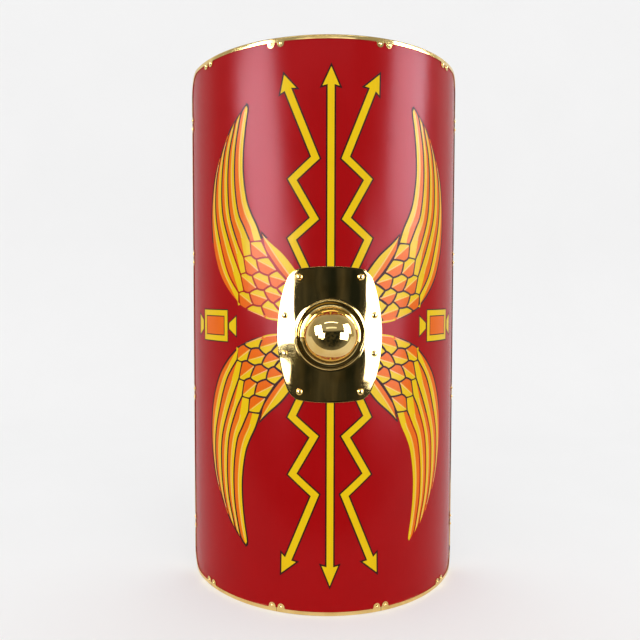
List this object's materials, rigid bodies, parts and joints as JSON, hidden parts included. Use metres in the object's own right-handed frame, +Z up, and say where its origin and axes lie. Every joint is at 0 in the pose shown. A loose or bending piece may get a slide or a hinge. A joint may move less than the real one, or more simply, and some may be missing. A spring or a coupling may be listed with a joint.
{
  "type": "curved rectangular infantry shield",
  "caption": "Tall curved rectangular shield with round corners: painted plywood board, riveted brass edging, domed brass boss, wooden hand grip behind",
  "frame": {"origin": "middle of the bounding box's underside: the shield stands on its curved bottom edge at z = 0", "axes": "+Z up along the board's height, -Y the convex front with the boss, +Y the hollow side, X across"},
  "size_m": [0.5524, 0.2694, 1.04],
  "materials": {
    "painted_board": "satin paint on cloth-faced plywood",
    "edging_brass": "polished",
    "boss_brass": "mirror polished",
    "rivet_brass": "polished",
    "grip_wood": "oiled"
  },
  "bodies": {
    "root": {"board": "painted_board", "boss": "boss_brass", "grip": "grip_wood", "edge_top_1": "edging_brass", "edge_top_2": "edging_brass", "edge_top_3": "edging_brass", "edge_corner_top_left": "edging_brass", "edge_left_1": "edging_brass", "edge_left_2": "edging_brass", "edge_left_3": "edging_brass", "edge_corner_left_bottom": "edging_brass", "edge_bottom_1": "edging_brass", "edge_bottom_2": "edging_brass", "edge_bottom_3": "edging_brass", "edge_corner_bottom_right": "edging_brass", "edge_right_1": "edging_brass", "edge_right_2": "edging_brass", "edge_right_3": "edging_brass", "edge_corner_right_top": "edging_brass", "boss_rivet_1": "rivet_brass", "boss_rivet_2": "rivet_brass", "boss_rivet_3": "rivet_brass", "boss_rivet_4": "rivet_brass", "boss_rivet_5": "rivet_brass", "boss_rivet_6": "rivet_brass", "boss_rivet_7": "rivet_brass", "boss_rivet_8": "rivet_brass", "edge_rivet_01": "rivet_brass", "edge_rivet_02": "rivet_brass", "edge_rivet_03": "rivet_brass", "edge_rivet_04": "rivet_brass", "edge_rivet_05": "rivet_brass", "edge_rivet_06": "rivet_brass", "edge_rivet_07": "rivet_brass", "edge_rivet_08": "rivet_brass", "edge_rivet_09": "rivet_brass", "edge_rivet_10": "rivet_brass", "edge_rivet_11": "rivet_brass", "edge_rivet_12": "rivet_brass", "edge_rivet_13": "rivet_brass", "edge_rivet_14": "rivet_brass", "edge_rivet_15": "rivet_brass", "edge_rivet_16": "rivet_brass", "edge_rivet_17": "rivet_brass", "edge_rivet_18": "rivet_brass", "edge_rivet_19": "rivet_brass", "edge_rivet_20": "rivet_brass", "edge_rivet_21": "rivet_brass", "edge_rivet_22": "rivet_brass", "edge_rivet_23": "rivet_brass", "edge_rivet_24": "rivet_brass", "edge_rivet_25": "rivet_brass", "edge_rivet_26": "rivet_brass", "edge_rivet_27": "rivet_brass", "edge_rivet_28": "rivet_brass", "edge_rivet_29": "rivet_brass", "edge_rivet_30": "rivet_brass", "edge_rivet_31": "rivet_brass", "edge_rivet_32": "rivet_brass"}
  },
  "joints": []
}
